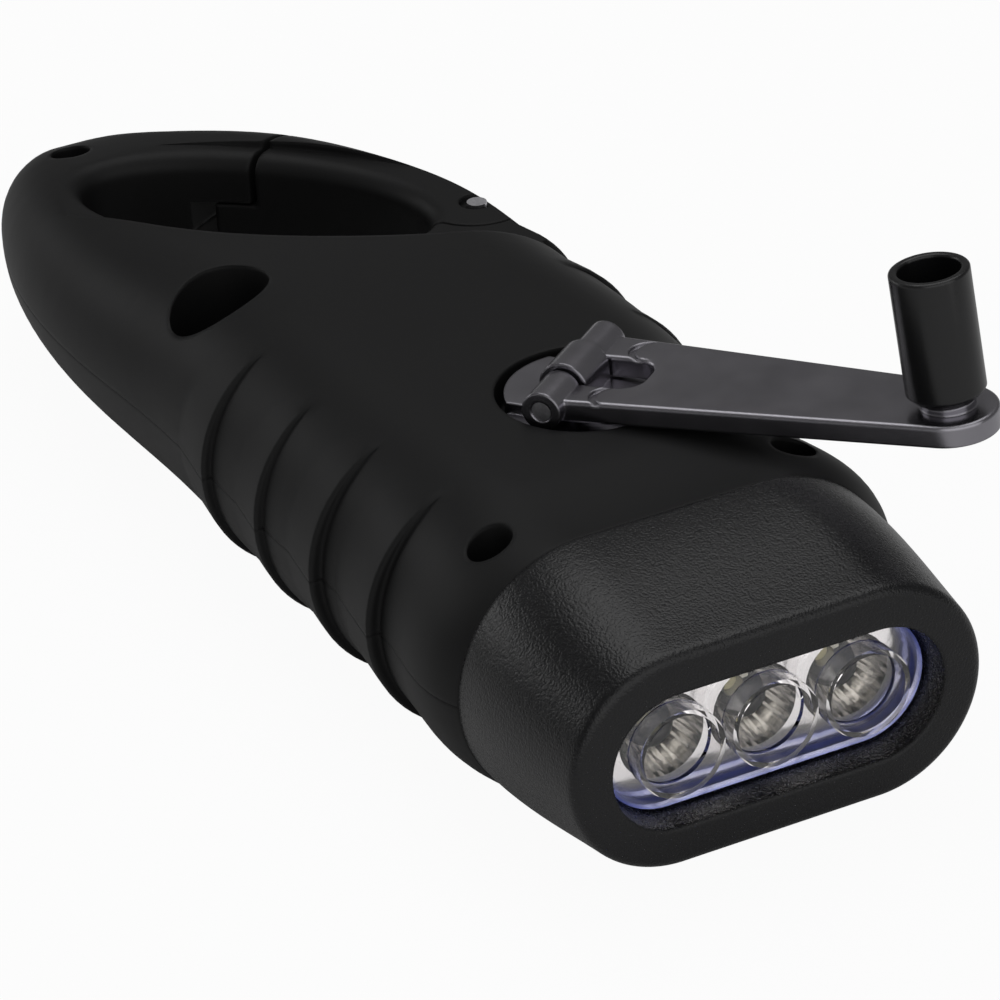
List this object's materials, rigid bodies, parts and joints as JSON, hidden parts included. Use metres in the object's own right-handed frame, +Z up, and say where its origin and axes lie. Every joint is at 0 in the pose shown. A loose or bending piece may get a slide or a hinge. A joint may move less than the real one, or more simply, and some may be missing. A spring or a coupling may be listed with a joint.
{
  "type": "hand crank flashlight",
  "caption": "Palm-sized flashlight with a folding hand crank on top, a flat oval head with round lamps in a chromed reflector, and a sprung carabiner gate at the tail.",
  "frame": {"origin": "on the flat underside that the flashlight lies on, below the middle of the grip", "axes": "+X points out of the lamp head along the body, +Y to the side of the carabiner gate, +Z up, out of the side with the crank"},
  "size_m": [0.147, 0.0592, 0.0487],
  "materials": {
    "shell_plastic": "fine satin grain",
    "head_plastic": "spark eroded texture",
    "clear_lens": "polished",
    "reflector_chrome": "vacuum plated",
    "lamp_resin": "clear with a yellow phosphor",
    "circuit_board": "solder mask",
    "nickel_steel": "plated",
    "wire_sleeve": "smooth",
    "switch_black": "smooth",
    "soft_button": "matte",
    "bright_steel": "ground",
    "arm_metal": "gunmetal gloss",
    "hub_plastic": "satin",
    "gear_acetal": "smooth",
    "plate_plastic": "smooth",
    "ferrite": "dull",
    "coil_copper": "enamelled",
    "zinc_screw": "zinc plated"
  },
  "bodies": {
    "housing": {"top_shell": "shell_plastic", "bottom_shell": "shell_plastic", "head_bezel": "head_plastic", "lens": "clear_lens", "reflector": "reflector_chrome", "lamp_board": "circuit_board", "lamp_left": "lamp_resin", "lamp_middle": "lamp_resin", "lamp_right": "lamp_resin", "main_board": "circuit_board", "battery_cell": "nickel_steel", "battery_tabs": "nickel_steel", "lamp_wires": "wire_sleeve", "coil_wires": "wire_sleeve", "switch_body": "switch_black", "gate_pin": "bright_steel", "gate_spring": "bright_steel", "axle_one": "bright_steel", "axle_two": "bright_steel", "gear_plate": "plate_plastic", "plate_screws": "zinc_screw", "stator_core": "nickel_steel", "stator_coil": "coil_copper", "waist_screw": "zinc_screw", "head_screws": "zinc_screw", "tail_screw": "zinc_screw"},
    "button": {"switch_button": "soft_button"},
    "gate": {"carabiner_gate": "shell_plastic"},
    "crank": {"crank_hub": "hub_plastic", "hub_screw": "zinc_screw", "drive_gear": "gear_acetal", "arm_pin": "bright_steel"},
    "arm": {"crank_arm": "arm_metal", "knob_rivet": "bright_steel"},
    "knob": {"crank_knob": "hub_plastic"},
    "gear_one": {"compound_gear_one": "gear_acetal"},
    "gear_two": {"compound_gear_two": "gear_acetal"},
    "rotor": {"rotor_shaft": "bright_steel", "rotor_magnet": "ferrite", "rotor_pinion": "gear_acetal"}
  },
  "joints": [
    {"name": "crank_turn", "type": "hinge", "parent": "housing", "child": "crank", "pos_m": [0.0049, 0.0043, 0.0306], "axis": [0, 0, 1], "continuous": true},
    {"name": "arm_fold", "type": "hinge", "parent": "crank", "child": "arm", "pos_m": [0.00396, 0.00356, 0.0306], "axis": [0.6184, -0.7859, 0], "range_deg": [0, 150]},
    {"name": "knob_spin", "type": "hinge", "parent": "arm", "child": "knob", "pos_m": [0.03493, 0.02793, 0.03315], "axis": [-0.0985, -0.0775, 0.9921], "continuous": true},
    {"name": "gate_swing", "type": "hinge", "parent": "housing", "child": "gate", "pos_m": [-0.0492, 0.0194, 0.0147], "axis": [0, 0, 1], "range_deg": [0, 28], "stiffness_Nm_per_rad": 0.15, "springref_deg": -34.38},
    {"name": "gear_one_turn", "type": "hinge", "parent": "housing", "child": "gear_one", "pos_m": [-0.00873, -0.00066, 0.02], "axis": [0, 0, 1], "continuous": true},
    {"name": "gear_two_turn", "type": "hinge", "parent": "housing", "child": "gear_two", "pos_m": [-0.01955, 0.00559, 0.017], "axis": [0, 0, 1], "continuous": true},
    {"name": "rotor_turn", "type": "hinge", "parent": "housing", "child": "rotor", "pos_m": [-0.02129, -0.00679, 0.01], "axis": [0, 0, 1], "continuous": true},
    {"name": "button_press", "type": "slide", "parent": "housing", "child": "button", "axis": [0, 0, 1], "range_m": [0, 0.0008], "stiffness_N_per_m": 1500, "springref_m": -0.001}
  ],
  "couplings": [
    {"joint": "gear_one_turn", "follows": "crank_turn", "ratio": -4.8},
    {"joint": "gear_two_turn", "follows": "crank_turn", "ratio": 19.2},
    {"joint": "rotor_turn", "follows": "crank_turn", "ratio": -76.8}
  ]
}
